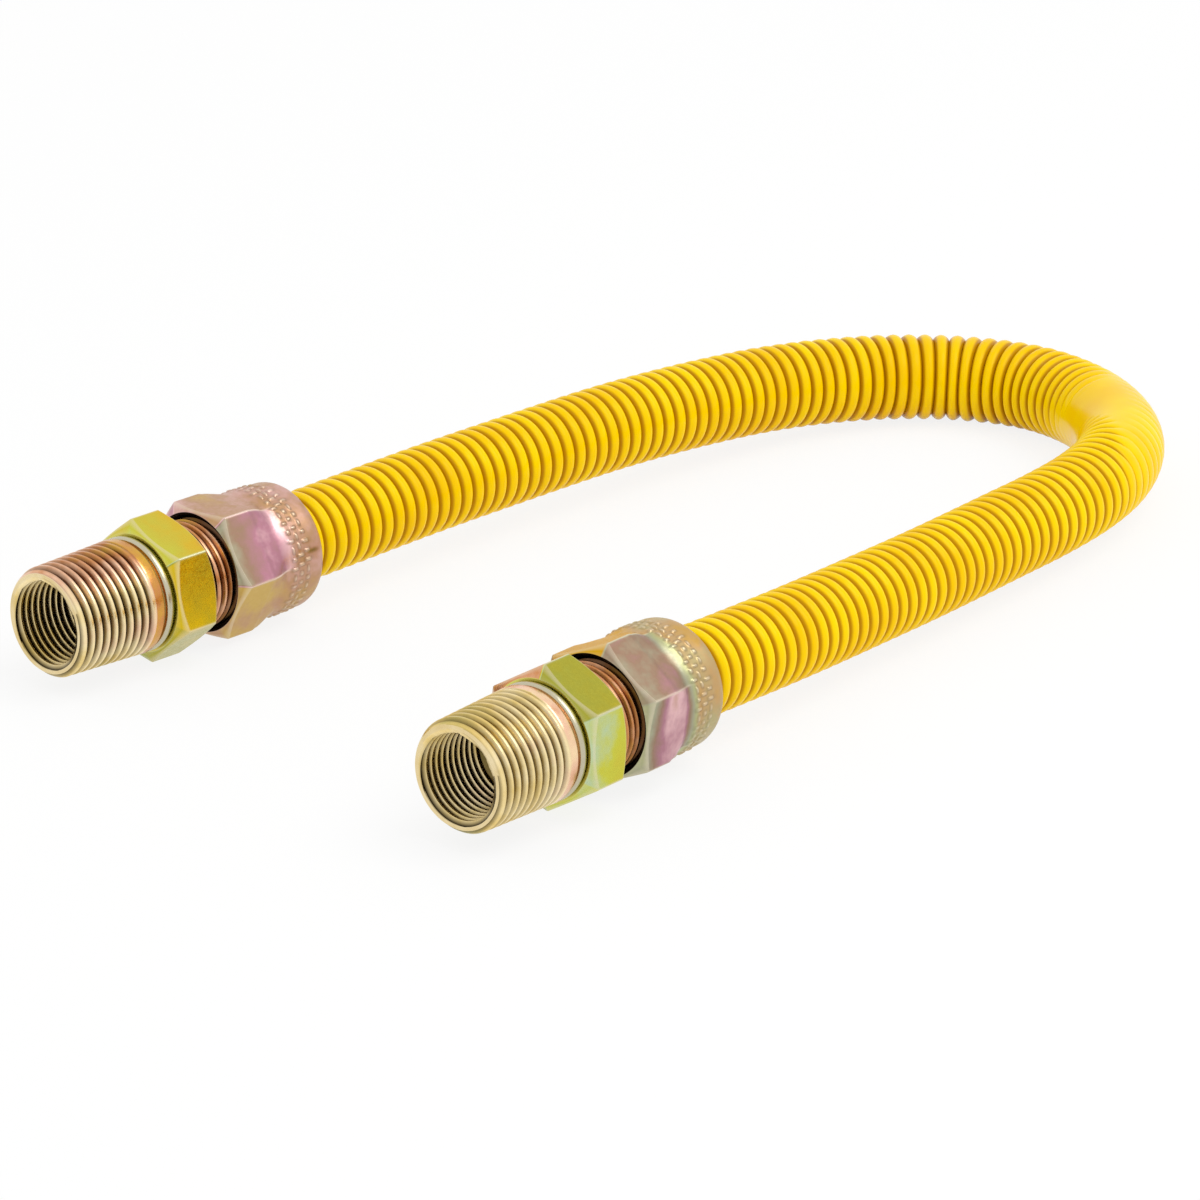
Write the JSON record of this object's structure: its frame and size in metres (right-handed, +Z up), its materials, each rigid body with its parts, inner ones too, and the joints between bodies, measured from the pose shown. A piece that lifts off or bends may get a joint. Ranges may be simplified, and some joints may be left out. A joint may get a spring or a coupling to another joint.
{
  "type": "flexible gas hose",
  "caption": "Yellow-coated corrugated steel gas hose bent into a U, with a hex flare nut and a male threaded adapter on each end.",
  "frame": {"origin": "middle of the object's box, on the floor that it lies on", "axes": "+X from the fittings towards the bend, +Y from the front leg to the back leg, +Z up"},
  "size_m": [0.246, 0.1291, 0.0275],
  "materials": {
    "yellow_coating": "glossy yellow coating over corrugated stainless steel",
    "nut_zinc": "zinc plate with pale pink and grey-green iridescence",
    "adapter_zinc": "yellow chromate zinc plate, olive to gold, bright"
  },
  "bodies": {
    "hose_body": {"hose": "yellow_coating"},
    "front_nut_body": {"flare_nut_front": "nut_zinc"},
    "front_adapter_body": {"adapter_front": "adapter_zinc"},
    "back_nut_body": {"flare_nut_back": "nut_zinc"},
    "back_adapter_body": {"adapter_back": "adapter_zinc"}
  },
  "joints": [
    {"name": "front_nut_turn", "type": "hinge", "parent": "hose_body", "child": "front_nut_body", "pos_m": [-0.0767, -0.0516, 0.01374], "axis": [0.9992, 0.0406, 0], "range_deg": [0, 1800]},
    {"name": "front_adapter_slide", "type": "slide", "parent": "hose_body", "child": "front_adapter_body", "axis": [-0.9992, -0.0406, 0], "range_m": [0, 0.00794]},
    {"name": "back_nut_turn", "type": "hinge", "parent": "hose_body", "child": "back_nut_body", "pos_m": [-0.0725, 0.0506, 0.01353], "axis": [0.9992, -0.0403, 0], "range_deg": [0, 1800]},
    {"name": "back_adapter_slide", "type": "slide", "parent": "hose_body", "child": "back_adapter_body", "axis": [-0.9992, 0.0403, 0], "range_m": [0, 0.00794]}
  ],
  "couplings": [
    {"joint": "front_nut_turn", "follows": "front_adapter_slide", "rad_per_m": 3957.9},
    {"joint": "back_nut_turn", "follows": "back_adapter_slide", "rad_per_m": 3957.9}
  ]
}
